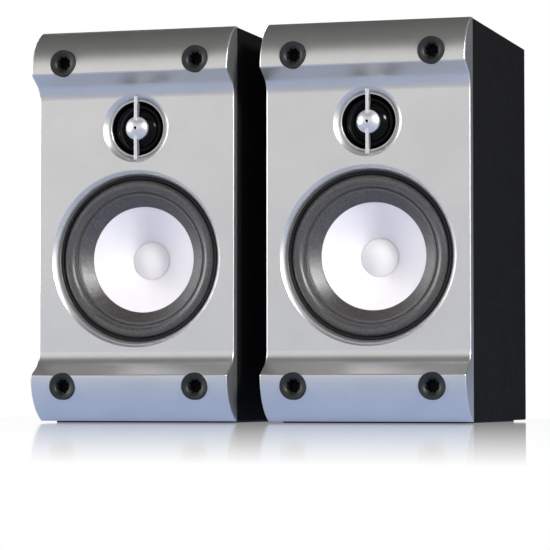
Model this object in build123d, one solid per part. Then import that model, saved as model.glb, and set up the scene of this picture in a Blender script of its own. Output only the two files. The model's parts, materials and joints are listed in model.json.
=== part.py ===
from build123d import *
import os
from math import atan2, cos, pi, radians, sin, sqrt, tan

# A pair of two-way desktop speakers standing side by side: the right one holds the amplifier,
# the left one is passive. Millimetres, +Z up, the fronts face -Y, +X is along the pair.
# The origin is on the floor, in the middle of the pair's outer box.
# Each speaker is modelled about x = 0 with y = 0 at the front edge of its cabinet and z = 0 under
# its cabinet, and is then moved to its place.

# ---- driving dimensions ---------------------------------------------------------------------
CAB_W = 124.0          # cabinet width
CAB_H = 236.0          # cabinet height
CAB_D = 154.0          # cabinet depth, without the faceplate
WALL = 9.0             # fibreboard thickness of the sleeve and the back
CORNER_R = 1.0         # radius of the sleeve's long edges
GLUE_LINE = 0.1        # gap in the sleeve's mitres
GAP = 20.0             # free space between the two cabinets
PAD_H = 1.0            # thickness of the soft sheet under a cabinet
PAD_INSET = 6.0        # from the cabinet's sides to the sheet's edge
PAD_R = 4.0

# faceplate: how far it stands out of the cabinet's front, and its bulges at both ends
EDGE_OUT = 2.8
FLAT_OUT = 6.3
CREASE_OUT = 20.5
CREASE_Z = 27.5        # distance of the crease from the cabinet's end
CREASE_R = 1.2
SLANT = radians(59.0)  # slope between crease and flat, from the vertical
COVE_R = 10.0
SKIN = 2.5             # moulding's wall
SIDE_R = 1.0
POST_R = 3.8
POST_X = 49.0
POST_Z = (36.0, 160.0, 198.0)

SOCKET_X = 41.7
SOCKET_END = 20.8      # socket centre from the cabinet's end
SOCKET_R = 8.1
SOCKET_OUT = 20.4      # the cup's flat front, in front of the cabinet's front edge
SOCKET_BACK = 8.0      # and its back
SOCKET_DISH_R = 7.2
SOCKET_DISH_D = 1.3
SOCKET_BORE_R = 4.15
SOCKET_FLOOR = 9.5     # the bore's blind end
BOSS_R = 9.8

# woofer
WOOFER_Z = 97.6
RECESS_R = 53.4
OPENING_R = 50.0
RECESS_SAG = 0.7       # how far the recess's chamfer bows out of straight
RING_R = 49.7
RING_IN_R = 48.2
ROLL_IN_R = 40.4
ROLL_SAG = 3.0
LIP_IN_R = 32.0
CONE_SLOPE = 0.757     # depth gained for each millimetre of radius lost
CONE_EDGE_Y = 1.75
CAP_R = 11.2
CAP_H = 4.2
FORMER_R = 10.2
FORMER_Y = 24.3        # front and rear of the voice coil's former
FORMER_REAR_Y = 45.0
BAFFLE_Y = 3.0
BAFFLE_T = 12.0
WOOFER_HOLE_R = 47.0
EAR_R = 53.5           # screw circle of the woofer's frame
SPIDER_Y = 32.0
PLATE_Y = 38.0         # front of the woofer's top plate
PLATE_T = 4.0
PLATE_R = 33.0
MAGNET_R = 35.0
MAGNET_IN_R = 16.0
MAGNET_T = 15.0
YOKE_T = 5.0

# tweeter
TWEETER_Z = 176.3
TW_RECESS_R = 20.75
TW_RECESS_SAG = 0.35
TW_OPENING_R = 16.4
TW_LIP_R = 17.3
TW_LIP_OUT = 3.2       # the lip's front, in front of the cabinet's front edge
TW_HOLE_R = 18.0
DOME_R = 10.4
DOME_H = 3.2
DOME_BASE_Y = 0.4
TW_ROLL_R = 14.9       # outer radius of the dome's half roll
TW_SCREW_R = 21.0      # screw circle of the tweeter's flange
TW_FLANGE_R = 24.0
TW_CUP_R = 17.4        # the motor's steel cup
BAR_HALF = 19.2
BAR_W = 1.8
BULLET_R = 7.0
BULLET_OUT = 7.6       # its tip, in front of the cabinet's front edge
BULLET_H = 3.0         # height of its dome
BULLET_HOLE_R = 0.9

# port and back
PORT_Z = 196.0
PORT_R = 17.0
PORT_LEN = 70.0
PORT_WALL = 2.0
PORT_LIP = 8.0         # from the bore to the flange's edge
SCREW_R = 1.6
HEAD_R = 2.7
HEAD_H = 1.4

# left terminal cup and the amplifier's plate with what sits on it
CUP_W, CUP_H = 56.0, 46.0
WELL_W, WELL_H = 44.0, 36.0
CLIP_X = 11.0          # the levers' distance from the cup's middle
LEVER_W = 13.0
PIVOT_Z = 12.0         # the levers' pins, above the cup's middle
PIVOT_Y = -6.0         # and behind the flange's seat where plus
PIN_R = 1.0
WIRE_R = 1.75
WIRE_Z = -10.5         # the wire holes, from the cup's middle
LEFT_CUP_Z = 62.0
PANEL_T = 1.5
PANEL_W, PANEL_H, PANEL_Z = 92.0, 140.0, 84.0
PANEL_LAP = 5.0        # the plate's overlap on the back board
OUT_CUP_X, OUT_CUP_Z = -13.0, 58.0
KNOB_Z = 132.0
KNOBS = (("volume_knob", -26.0, 9.0), ("treble_knob", 2.0, 6.5), ("bass_knob", 26.0, 6.5))
JACK_X = (-34.0, -17.0)
JACK_Z = 101.0
SWITCH_X, SWITCH_Z = 28.5, 98.0
INLET_X, INLET_Z = 28.5, 58.0
PIN_X, INLET_PIN_R = 4.3, 1.15
SHAFT_R = 3.0          # the controls' shafts
ROCKER_REST = 10.0     # the rocker's tilt at rest, in degrees
KNOB_END = 17.0        # the knobs' ends behind the cabinet's back

PAIR_X = (CAB_W + GAP) / 2
SHIFT_Y = (CREASE_OUT - (CAB_D + KNOB_END)) / 2

os.makedirs("parts", exist_ok=True)
nodes = {}


# ---- helpers --------------------------------------------------------------------------------
def slab(x0, x1, y0, y1, z0, z1):
    """A block between two corners."""
    return Pos((x0 + x1) / 2, (y0 + y1) / 2, (z0 + z1) / 2) * Box(x1 - x0, y1 - y0, z1 - z0)


def rod(r, y0, y1, x=0.0, z=0.0):
    """A cylinder along Y."""
    return Pos(x, (y0 + y1) / 2, z) * Rot(90, 0, 0) * Cylinder(r, y1 - y0)


def taper(y0, r0, y1, r1, x=0.0, z=0.0):
    """A cone frustum along Y, r0 at y0 and r1 at y1."""
    outline = Polyline((0, y0), (r0, y0), (r1, y1), (0, y1), close=True)
    return Pos(x, 0, z) * revolve(make_face(outline), Axis.Y)


def turned(*points, x=0.0, z=0.0):
    """A solid of revolution about Y from a closed outline of (radius, y) points."""
    return Pos(x, 0, z) * revolve(make_face(Polyline(*points, close=True)), Axis.Y)


def cap_arc(apex_y, rim_r, rim_y):
    """Half the section of a spherical cap: from its apex on the axis to its rim."""
    height = rim_y - apex_y
    radius = (rim_r * rim_r + height * height) / (2 * height)
    half = atan2(rim_r, radius - height) / 2
    return ThreePointArc((0, apex_y), (radius * sin(half), apex_y + radius * (1 - cos(half))), (rim_r, rim_y))


def turned_curves(curves, x=0.0, z=0.0):
    """The same from curves that close on each other."""
    return Pos(x, 0, z) * revolve(make_face(Wire(curves)), Axis.Y)


def lines(*points):
    """Straight edges from point to point."""
    return [Line(a, b) for a, b in zip(points, points[1:])]


def tube(r_in, r_out, y0, y1, x=0.0, z=0.0):
    """A ring along Y."""
    return turned((r_in, y0), (r_out, y0), (r_out, y1), (r_in, y1), x=x, z=z)


def arc(p0, p1, sag):
    """A circular arc from p0 to p1 that bows by sag to the left of the chord."""
    dx, dy = p1[0] - p0[0], p1[1] - p0[1]
    length = sqrt(dx * dx + dy * dy)
    middle = ((p0[0] + p1[0]) / 2 - dy / length * sag, (p0[1] + p1[1]) / 2 + dx / length * sag)
    return ThreePointArc(p0, middle, p1)


def grey_y(r):
    """Front surface of the surround's inner lip, at radius r."""
    return CONE_EDGE_Y + (ROLL_IN_R - r) * CONE_SLOPE


def group(solids):
    """Separate solids kept in one node."""
    return Compound(children=[s for piece in solids for s in piece.solids()])


# ---- cabinet --------------------------------------------------------------------------------
def cabinet_sleeve():
    """One board grooved at 45 degrees and folded round: four mitred walls under one wrap."""
    section = RectangleRounded(CAB_W, CAB_H, CORNER_R) - Rectangle(CAB_W - 2 * WALL, CAB_H - 2 * WALL)
    ring = Pos(0, CAB_D, CAB_H / 2) * Rot(90, 0, 0) * extrude(section, CAB_D)
    half_w, half_h, deep = CAB_W / 2, CAB_H / 2, 2 * WALL
    for sx in (-1, 1):
        for sz in (-1, 1):
            corner = Pos(sx * half_w, CAB_D / 2, CAB_H / 2 + sz * half_h)
            ring -= corner * Rot(0, sx * sz * 45, 0) * Box(GLUE_LINE, CAB_D + 2, 2 * deep)
    return group([ring])


def board(y0, y1):
    """A board that fills the sleeve from y0 to y1."""
    return slab(-CAB_W / 2 + WALL, CAB_W / 2 - WALL, y0, y1, WALL, CAB_H - WALL)


def ear_places():
    """Where the woofer's four screws go, as (x, z)."""
    return [(EAR_R * cos(radians(a)), WOOFER_Z + EAR_R * sin(radians(a))) for a in (45, 135, 225, 315)]


def post_places():
    """Where the faceplate's screws go, as (x, z)."""
    return [(s * POST_X, z) for s in (-1, 1) for z in POST_Z]


def tweeter_screw_places():
    """Where the tweeter's two screws go, as (x, z)."""
    x, z = TW_SCREW_R * cos(radians(35)), TW_SCREW_R * sin(radians(35))
    return [(s * x, TWEETER_Z + s * z) for s in (-1, 1)]


def baffle_board():
    body = board(BAFFLE_Y, BAFFLE_Y + BAFFLE_T)
    body -= rod(WOOFER_HOLE_R, 0, 20, z=WOOFER_Z)
    body -= rod(TW_HOLE_R, 0, 20, z=TWEETER_Z)
    for x, z in ear_places() + post_places() + tweeter_screw_places():
        body -= rod(SCREW_R + 0.05, 0, 20, x, z)
    return body


# ---- faceplate ------------------------------------------------------------------------------
def side_outline(back):
    """The faceplate's section across its width, in (y, z), closed by a line at y = back."""
    rise = CREASE_OUT - EDGE_OUT
    bulge_r = (rise * rise + CREASE_Z * CREASE_Z) / (2 * rise)
    centre = (bulge_r - CREASE_OUT, CREASE_Z)
    start = atan2(-CREASE_Z, -EDGE_OUT - centre[0]) % (2 * pi)
    mid = (start + pi) / 2
    bulge_mid = (centre[0] + bulge_r * cos(mid), centre[1] + bulge_r * sin(mid))
    foot_z = CREASE_Z + (CREASE_OUT - FLAT_OUT) / tan(SLANT)
    reach = COVE_R * tan(SLANT / 2)
    cove_0 = (-FLAT_OUT - reach * sin(SLANT), foot_z - reach * cos(SLANT))
    cove_1 = (-FLAT_OUT, foot_z + reach)
    turn = pi + SLANT / 2
    cove_mid = (-FLAT_OUT - COVE_R - COVE_R * cos(turn), cove_1[1] + COVE_R * sin(turn))
    lower = [ThreePointArc((-EDGE_OUT, 0), bulge_mid, (-CREASE_OUT, CREASE_Z)),
             Line((-CREASE_OUT, CREASE_Z), cove_0),
             ThreePointArc(cove_0, cove_mid, cove_1)]
    upper = [edge.mirror(Plane.XZ).moved(Location((0, CAB_H, 0))) for edge in lower]
    flat = Line(cove_1, (-FLAT_OUT, CAB_H - cove_1[1]))
    ends = Polyline((-EDGE_OUT, 0), (back, 0), (back, CAB_H), (-EDGE_OUT, CAB_H))
    face = make_face(Wire(lower + upper + [flat] + list(ends.edges())))
    creases = [v for v in face.vertices() if abs(v.X + CREASE_OUT) < 0.01]
    return fillet(creases, CREASE_R)


def across(face, half_width):
    """Extrude a (y, z) section along X, to both sides of the middle."""
    return extrude(Plane.YZ * face, half_width, both=True)


def socket_places():
    """Where the grille's sockets are, as (x, z)."""
    return [(s * SOCKET_X, z) for s in (-1, 1) for z in (SOCKET_END, CAB_H - SOCKET_END)]


def faceplate():
    """A hollow moulding with bulged ends, two recesses, posts for its screws and four bosses."""
    outer = across(side_outline(0), CAB_W / 2)
    rims = [e for f in (outer.faces().sort_by(Axis.X)[0], outer.faces().sort_by(Axis.X)[-1])
            for e in f.edges() if e.center().Y < -0.5 and e.length > 0.5]
    body = fillet([e for e in rims if abs(e.center().Z) > 0.1 and abs(e.center().Z - CAB_H) > 0.1], SIDE_R)
    pocket = across(offset(side_outline(12.0), -SKIN, kind=Kind.INTERSECTION), CAB_W / 2 - SKIN)
    shell = body - pocket
    inside = body & slab(-CAB_W, CAB_W, -50, 0, -1, CAB_H + 1)
    extras = [rod(OPENING_R + 6, -FLAT_OUT + 0.2, 0, z=WOOFER_Z),
              rod(TW_RECESS_R + 2.5, -FLAT_OUT + 0.2, 0, z=TWEETER_Z)]
    extras += [rod(BOSS_R, -CREASE_OUT - 1, -SOCKET_BACK + 1.6, x, z) for x, z in socket_places()]
    for extra in extras:
        shell += extra & inside
    for x, z in post_places():
        shell += rod(POST_R, -FLAT_OUT + 1, BAFFLE_Y - 0.05, x, z)
    # woofer recess: a rounded chamfer down to the opening
    edge, foot = (RECESS_R, -FLAT_OUT), (OPENING_R + 0.3, -0.9)
    shell -= turned_curves(lines((0, 1), (0, -30), (RECESS_R, -30), edge) + [arc(edge, foot, RECESS_SAG)]
                           + lines(foot, (OPENING_R, -0.5), (OPENING_R, 1), (0, 1)), z=WOOFER_Z)
    # tweeter recess, with a thin raised lip round the opening
    edge, foot = (TW_RECESS_R, -FLAT_OUT), (TW_LIP_R, 0.5 - TW_LIP_OUT)
    shell -= turned_curves(lines((0, 1), (0, -30), (TW_RECESS_R, -30), edge) + [arc(edge, foot, TW_RECESS_SAG)]
                           + lines(foot, (TW_LIP_R - 0.2, -TW_LIP_OUT), (TW_OPENING_R + 0.3, -TW_LIP_OUT),
                                   (TW_OPENING_R, 0.3 - TW_LIP_OUT), (TW_OPENING_R, 1), (0, 1)), z=TWEETER_Z)
    for x, z in socket_places():
        shell -= rod(SOCKET_R + 0.05, -40, -SOCKET_BACK, x, z)
    for x, z in post_places():
        shell -= rod(SCREW_R + 0.05, -FLAT_OUT + 2.5, 10, x, z)
    return shell


def grille_sockets():
    """Soft cups for the grille's pegs: a flat rim, a shallow dish and a blind bore."""
    cups = []
    for x, z in socket_places():
        cup = rod(SOCKET_R, -SOCKET_OUT, -SOCKET_BACK - 0.05, x, z)
        cup -= taper(-SOCKET_OUT, SOCKET_DISH_R, SOCKET_DISH_D - SOCKET_OUT, SOCKET_BORE_R, x, z)
        cup -= rod(SOCKET_BORE_R, -SOCKET_OUT, -SOCKET_FLOOR, x, z)
        cups.append(cup)
    return group(cups)


# ---- woofer ---------------------------------------------------------------------------------
def woofer_frame():
    """Pressed steel: a flange with four ears, a windowed cone, the spider's shelf and the floor."""
    t = 1.2
    front = BAFFLE_Y - t
    shelf = SPIDER_Y + 0.5
    body = turned((51.5, front), (45.2, front), (29.2, shelf), (24.0, shelf), (21.5, PLATE_Y - t),
                  (12.5, PLATE_Y - t), (12.5, PLATE_Y), (22.5, PLATE_Y), (25.0, shelf + t),
                  (30.0, shelf + t), (46.0, BAFFLE_Y), (51.5, BAFFLE_Y), z=WOOFER_Z)
    for x, z in ear_places():
        ear = rod(5.0, front, BAFFLE_Y, x, z) - rod(46.5, 0, 5, z=WOOFER_Z)
        body += ear
    for x, z in ear_places():
        body -= rod(SCREW_R + 0.1, 0, 5, x, z)
    for k in range(4):
        window = Pos(0, 19, 0) * slab(24, 60, -7, 8, -13, 13)
        body -= Pos(0, 0, WOOFER_Z) * Rot(0, 90 * k, 0) * window
    return body


def woofer_trim_ring():
    """Black ring that covers the surround's glued edge."""
    y0, y1 = -1.0, BAFFLE_Y - 1.75
    return turned((RING_IN_R + 0.3, y0), (RING_R - 0.3, y0), (RING_R, y0 + 0.4), (RING_R, y1),
                  (RING_IN_R, y1), (RING_IN_R, y0 + 0.4), z=WOOFER_Z)


def woofer_surround():
    """One soft moulding: clamped outer lip, half roll, and a wide inner lip glued on the cone."""
    t = 0.5
    outer_y = BAFFLE_Y - 1.7
    top_0, top_1 = (RING_IN_R - 0.1, outer_y), (ROLL_IN_R, CONE_EDGE_Y - t)
    low_0, low_1 = (RING_IN_R - 0.1 - t, outer_y + t), (ROLL_IN_R + t, CONE_EDGE_Y + 0.1)
    lip_0, lip_1 = (LIP_IN_R, grey_y(LIP_IN_R)), (LIP_IN_R, grey_y(LIP_IN_R) + t)
    curves = [Line((RING_R, outer_y), top_0), arc(top_0, top_1, ROLL_SAG), Line(top_1, lip_0),
              Line(lip_0, lip_1), Line(lip_1, low_1), arc(low_1, low_0, 0.1 - ROLL_SAG),
              Line(low_0, (RING_R, outer_y + t)), Line((RING_R, outer_y + t), (RING_R, outer_y))]
    return turned_curves(curves, z=WOOFER_Z)


def woofer_cone():
    """Straight-sided cone, its edge under the surround's lip and its neck on the former."""
    gap, t, neck = 0.6, 0.8, FORMER_R + 0.05
    rim = ROLL_IN_R - 0.8
    return turned((rim, grey_y(rim) + gap), (neck, grey_y(neck) + gap), (neck, grey_y(neck) + gap + t + 1.0),
                  (neck + 0.8, grey_y(neck) + gap + t), (rim, grey_y(rim) + gap + t), z=WOOFER_Z)


def woofer_dust_cap():
    """Convex cap with a skirt that sits on the cone."""
    t, skirt = 0.6, 0.5
    base = grey_y(CAP_R) + 0.1
    low = grey_y(CAP_R - t) + skirt
    curves = [cap_arc(base - CAP_H, CAP_R, base), Line((CAP_R, base), (CAP_R, base + skirt - 0.1)),
              Line((CAP_R, base + skirt - 0.1), (CAP_R - t, low)), Line((CAP_R - t, low), (CAP_R - t, base)),
              cap_arc(base - CAP_H + t, CAP_R - t, base),
              Line((0, base - CAP_H + t), (0, base - CAP_H))]
    return turned_curves(curves, z=WOOFER_Z)


def woofer_voice_coil():
    """Paper former with the winding at its rear end, as one bonded piece."""
    wire_r = FORMER_R + 0.45
    return turned((FORMER_R - 0.6, FORMER_Y), (FORMER_R, FORMER_Y), (FORMER_R, 36.0), (wire_r, 36.0),
                  (wire_r, FORMER_REAR_Y), (FORMER_R - 0.6, FORMER_REAR_Y), z=WOOFER_Z)


def woofer_spider():
    """Corrugated cloth disc between the former and the frame's shelf."""
    r0, r1, t, height, waves = FORMER_R + 0.05, 29.0, 0.5, 0.8, 3
    flat = 24.5

    def ripple(r):
        return height * sin(2 * pi * waves * (r - r0) / (flat - r0))

    steps = [r0 + (flat - r0) * k / 24 for k in range(25)]
    front = Spline(*[(r, SPIDER_Y - t + 0.45 + ripple(r)) for r in steps])
    back = Spline(*[(r, SPIDER_Y + 0.45 + ripple(r)) for r in steps])
    y0, y1 = SPIDER_Y - t + 0.45, SPIDER_Y + 0.45
    curves = [front, Line((flat, y0), (r1, y0)), Line((r1, y0), (r1, y1)), Line((r1, y1), (flat, y1)),
              back, Line((r0, y1), (r0, y0))]
    return turned_curves(curves, z=WOOFER_Z)


def woofer_top_plate():
    return tube(FORMER_R + 0.9, PLATE_R, PLATE_Y, PLATE_Y + PLATE_T, z=WOOFER_Z)


def woofer_magnet():
    y0 = PLATE_Y + PLATE_T
    return tube(MAGNET_IN_R, MAGNET_R, y0, y0 + MAGNET_T, z=WOOFER_Z)


def woofer_yoke():
    """Steel back plate with its pole."""
    y0 = PLATE_Y + PLATE_T + MAGNET_T
    return turned((0, PLATE_Y - 1), (FORMER_R - 1.0, PLATE_Y - 1), (FORMER_R - 1.0, y0), (PLATE_R, y0),
                  (PLATE_R, y0 + YOKE_T - 1), (PLATE_R - 1, y0 + YOKE_T), (0, y0 + YOKE_T), z=WOOFER_Z)


# ---- tweeter --------------------------------------------------------------------------------
def tweeter_housing():
    """Moulded ring that carries the diaphragm's edge and the motor, its collar inside the opening."""
    rim, collar = TW_ROLL_R + 0.15, TW_OPENING_R - 0.1
    body = turned((13.0, 1.3), (rim, 1.3), (rim, 0.0), (rim + 0.2, -0.3), (collar - 0.2, 0.6 - TW_LIP_OUT),
                  (collar, 0.6 - TW_LIP_OUT), (collar, 0.6), (TW_FLANGE_R, 0.6), (TW_FLANGE_R, BAFFLE_Y),
                  (TW_CUP_R + 0.2, BAFFLE_Y), (TW_CUP_R + 0.2, 5.0), (13.0, 5.0), z=TWEETER_Z)
    for x, z in tweeter_screw_places():
        body -= rod(SCREW_R + 0.1, 0, 5, x, z)
        body -= taper(0.5, 3.0, 2.0, SCREW_R + 0.1, x, z)
    return body


def tweeter_dome():
    """Thin dome with its half roll and its coil former, as one bonded piece."""
    t, y, roll_sag = 0.4, DOME_BASE_Y, -1.3
    former_out, former_in, rear = 10.0, 9.6, 7.0
    curves = [cap_arc(y - DOME_H, DOME_R, y), arc((DOME_R, y), (TW_ROLL_R, y), roll_sag),
              Line((TW_ROLL_R, y), (TW_ROLL_R, y + t)), arc((TW_ROLL_R, y + t), (DOME_R, y + t), -roll_sag),
              Line((DOME_R, y + t), (former_out, y + t)), Line((former_out, y + t), (former_out, rear)),
              Line((former_out, rear), (former_in, rear)), Line((former_in, rear), (former_in, y + t)),
              cap_arc(y - DOME_H + t, former_in, y + t),
              Line((0, y - DOME_H + t), (0, y - DOME_H))]
    return turned_curves(curves, z=TWEETER_Z)


def tweeter_motor():
    """Steel cup and, inside it, the magnet with its pole plate."""
    cup = turned((10.6, 5.0), (TW_CUP_R, 5.0), (TW_CUP_R, 18.0), (0, 18.0), (0, 16.0), (13.0, 16.0), (13.0, 7.5),
                 (10.6, 7.5), z=TWEETER_Z)
    pole = rod(9.2, 5.0, 15.98, z=TWEETER_Z)
    return group([cup, pole])


def phase_plug():
    """Bullet over the dome, carried by one upright bar across the recess."""
    front_y, back_y = -BULLET_OUT, -2.4
    rim_y = front_y + BULLET_H
    bullet_curves = [cap_arc(front_y, BULLET_R, rim_y), Line((BULLET_R, rim_y), (BULLET_R, back_y)),
                     Line((BULLET_R, back_y), (BULLET_R - 0.8, back_y)),
                     cap_arc(back_y - 1.1, BULLET_R - 0.8, back_y),
                     Line((0, back_y - 1.1), (0, front_y))]
    body = turned_curves(bullet_curves)
    for s in (-1, 1):
        near, tip = s * (BULLET_R - 2.4), s * BAR_HALF
        outline = Polyline((-7.0, near), (-7.0, tip), (-5.5, tip), (-3.3, s * 17.0), (-3.3, s * 15.7),
                           (-1.0, s * 15.2), (-1.0, s * 14.0), (-2.6, s * (BULLET_R + 0.4)), (-4.2, near),
                           close=True)
        body += across(make_face(outline), BAR_W / 2)
    body -= rod(BULLET_HOLE_R, -9, -4.0)
    return Pos(0, 0, TWEETER_Z) * body


# ---- back, port, pad, screws ----------------------------------------------------------------
def port_tube():
    """Flared tube with a thin flange on the back board."""
    lip = CAB_D + 1.5
    inner = [Line((PORT_R, lip - PORT_LEN), (PORT_R, CAB_D - 6)),
             arc((PORT_R, CAB_D - 6), (PORT_R + 4.5, lip), 1.2)]
    outer = lines((PORT_R + 4.5, lip), (PORT_R + PORT_LIP, lip), (PORT_R + PORT_LIP, CAB_D),
                  (PORT_R + 6.0, CAB_D), (PORT_R + PORT_WALL, CAB_D - 6), (PORT_R + PORT_WALL, lip - PORT_LEN),
                  (PORT_R, lip - PORT_LEN))
    return turned_curves(inner + outer, z=PORT_Z)


def port_hole():
    """The hole that the port's tube needs in the back board."""
    wall = PORT_WALL + 0.1
    return turned((0, CAB_D - 20), (PORT_R + wall, CAB_D - 20), (PORT_R + wall, CAB_D - 6),
                  (PORT_R + 6.1, CAB_D), (PORT_R + 6.1, CAB_D + 5), (0, CAB_D + 5), z=PORT_Z)


def base_pad():
    """A thin soft sheet that the cabinet stands on."""
    half_w = CAB_W / 2 - PAD_INSET
    sheet = slab(-half_w, half_w, PAD_INSET, CAB_D - PAD_INSET, -PAD_H, 0)
    return fillet(sheet.edges().filter_by(Axis.Z), PAD_R)


def screw(head_y, tip_y, x, z):
    """A pan-head screw along Y, head at head_y, with a cross recess."""
    way = 1 if tip_y > head_y else -1
    under = head_y + way * HEAD_H
    low, high = sorted((head_y, under))
    body = rod(HEAD_R, low, high, x, z) + rod(SCREW_R, min(under, tip_y), max(under, tip_y), x, z)
    depth = sorted((head_y, head_y + way * 0.7))
    for w, h in ((1.6, 0.25), (0.25, 1.6)):
        body -= slab(x - w, x + w, depth[0], depth[1], z - h, z + h)
    return body


def front_screws():
    """The woofer's, the tweeter's and the faceplate's screws."""
    ears = [screw(BAFFLE_Y - 1.2 - HEAD_H, BAFFLE_Y + 10, x, z) for x, z in ear_places()]
    posts = [screw(BAFFLE_Y + BAFFLE_T + HEAD_H, -FLAT_OUT + 3.5, x, z) for x, z in post_places()]
    small = [turned((0, 0.7), (2.8, 0.7), (SCREW_R, 1.9), (SCREW_R, 12), (0, 12), x=x, z=z)
             for x, z in tweeter_screw_places()]
    return ears + posts + small


def flange_corners(x, z, half_w, half_h):
    """Four screw places round (x, z)."""
    return [(x + sx * half_w, z + sz * half_h) for sx in (-1, 1) for sz in (-1, 1)]


# ---- spring-clip terminals ------------------------------------------------------------------
def terminal_cup(x, z, seat):
    """Flanged cup with a block for two wires and ears for the levers' pins; seat is its flange's y."""
    body = slab(-CUP_W / 2, CUP_W / 2, 0, 2, -CUP_H / 2, CUP_H / 2)
    body += slab(-WELL_W / 2, WELL_W / 2, -16, 0, -WELL_H / 2, WELL_H / 2)
    body -= slab(2 - WELL_W / 2, WELL_W / 2 - 2, -14, 3, 2 - WELL_H / 2, WELL_H / 2 - 2)
    body += slab(2 - WELL_W / 2, WELL_W / 2 - 2, -14, -1, -WELL_H / 2 + 2, -5)
    for side in (-1, 1):
        body -= rod(WIRE_R, -12, 0, side * CLIP_X, WIRE_Z)
    for x0, x1 in ((-20.5, -18.2), (-3.8, 3.8), (18.2, 20.5)):
        body += slab(x0, x1, -14, -3, 8, 16)
    body -= Pos(0, PIVOT_Y, PIVOT_Z) * Rot(0, 90, 0) * Cylinder(PIN_R + 0.08, 41)
    for dx, dz in flange_corners(0, 0, CUP_W / 2 - 4, CUP_H / 2 - 4):
        body -= rod(SCREW_R + 0.1, -1, 3, dx, dz)
    return Pos(x, seat, z) * body


def terminal_lever(side, x, z, seat):
    """Coloured tab, hinged at its top on two short pins; pressing its lower end opens the clip."""
    outline = Polyline((-7.6, 13.6), (-4.4, 13.6), (-1.2, 4.0), (0.6, -3.0), (-1.6, -4.0), (-5.0, 8.0),
                       (-7.6, 10.4), close=True)
    body = across(make_face(outline), LEVER_W / 2)
    body += Pos(0, PIVOT_Y, PIVOT_Z) * Rot(0, 90, 0) * Cylinder(PIN_R, LEVER_W + 4.6)
    return Pos(x + side * CLIP_X, seat, z) * body


# ---- amplifier side -------------------------------------------------------------------------
def switch_body():
    """Snap-in housing of the power switch, open at the back of the speaker."""
    seat = CAB_D + PANEL_T
    body = slab(-7.6, 7.6, seat, seat + 1.5, -10.8, 10.8) + slab(-6.4, 6.4, seat - 13, seat, -9.6, 9.6)
    body -= slab(-5.3, 5.3, seat - 8, seat + 5, -8.8, 8.8)
    body -= Pos(0, seat - 1, 0) * Rot(0, 90, 0) * Cylinder(1.28, 12.0)
    for dz in (-5, 5):
        body += slab(-2.4, 2.4, seat - 19, seat - 13, dz - 0.4, dz + 0.4)
    return Pos(SWITCH_X, 0, SWITCH_Z) * body


def power_rocker():
    """Rocker at its off position: the lower half stands out."""
    seat = CAB_D + PANEL_T
    outline = Polyline((-2.6, -7.9), (3.0, -8.1), (1.4, 0), (3.0, 8.1), (-2.6, 7.9), (-3.4, 0), close=True)
    body = across(make_face(outline), 5.0)
    body += Rot(0, 90, 0) * Cylinder(1.2, 11.7)
    return Pos(SWITCH_X, seat - 1, SWITCH_Z) * Rot(ROCKER_REST, 0, 0) * body


def mains_inlet():
    """Two-pin appliance inlet: flanged block, double-round socket, two pins."""
    seat = CAB_D + PANEL_T
    body = slab(-12.8, 12.8, seat, seat + 2, -10, 10) + slab(-11.5, 11.5, seat - 13, seat, -8, 8)
    for dx in (-4.1, 4.1):
        body -= rod(4.3, seat - 11, seat + 5, dx, 0)
    body -= slab(-4.1, 4.1, seat - 11, seat + 5, -4.3, 4.3)
    for dx in (-PIN_X, PIN_X):
        body += rod(INLET_PIN_R, seat - 11.5, seat - 1.0, dx, 0)
        body += slab(dx - 1.0, dx + 1.0, seat - 19, seat - 13, -0.4, 0.4)
    return Pos(INLET_X, 0, INLET_Z) * body


def rca_jacks():
    """Two phono sockets: an insulating block each, a metal barrel, a blind centre bore."""
    seat = CAB_D + PANEL_T
    barrel_r, barrel_in_r, core_r, bore_r = 4.15, 3.3, 2.9, 1.6
    jacks = []
    for x in JACK_X:
        jack = slab(x - 6, x + 6, seat - 15, seat - PANEL_T - 0.05, JACK_Z - 6, JACK_Z + 6)
        jack += rod(5.4, seat - PANEL_T - 1, seat + 1.0, x, JACK_Z)
        jack += rod(barrel_r, seat, seat + 9.5, x, JACK_Z)
        jack -= rod(barrel_in_r, seat + 2, seat + 12, x, JACK_Z)
        jack += rod(core_r, seat + 1, seat + 8.5, x, JACK_Z)
        jack -= rod(bore_r, seat - 2, seat + 12, x, JACK_Z)
        jacks.append(jack)
    return group(jacks)


def knob(x, r):
    """Fluted push-on knob with a pointer line, a blind bore for the control's shaft."""
    y0, y1 = CAB_D + PANEL_T + 1.2, CAB_D + KNOB_END
    body = turned((0, y0), (r + 0.6, y0), (r + 0.6, y0 + 1.2), (r, y0 + 1.8), (r - 0.6, y1 - 0.8),
                  (r - 1.4, y1), (0, y1), x=x, z=KNOB_Z)
    flutes = int(2 * pi * r / 2.4)
    for k in range(flutes):
        a = 2 * pi * (k + 0.5) / flutes
        body -= rod(0.55, y0 + 2.4, y1 + 1, x + (r + 0.1) * cos(a), KNOB_Z + (r + 0.1) * sin(a))
    body -= slab(x - 0.4, x + 0.4, y1 - 0.5, y1 + 1, KNOB_Z + 1.5, KNOB_Z + r + 1)
    body -= rod(SHAFT_R + 0.06, y0 - 1, y0 + 11, x, KNOB_Z)
    return body


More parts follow.
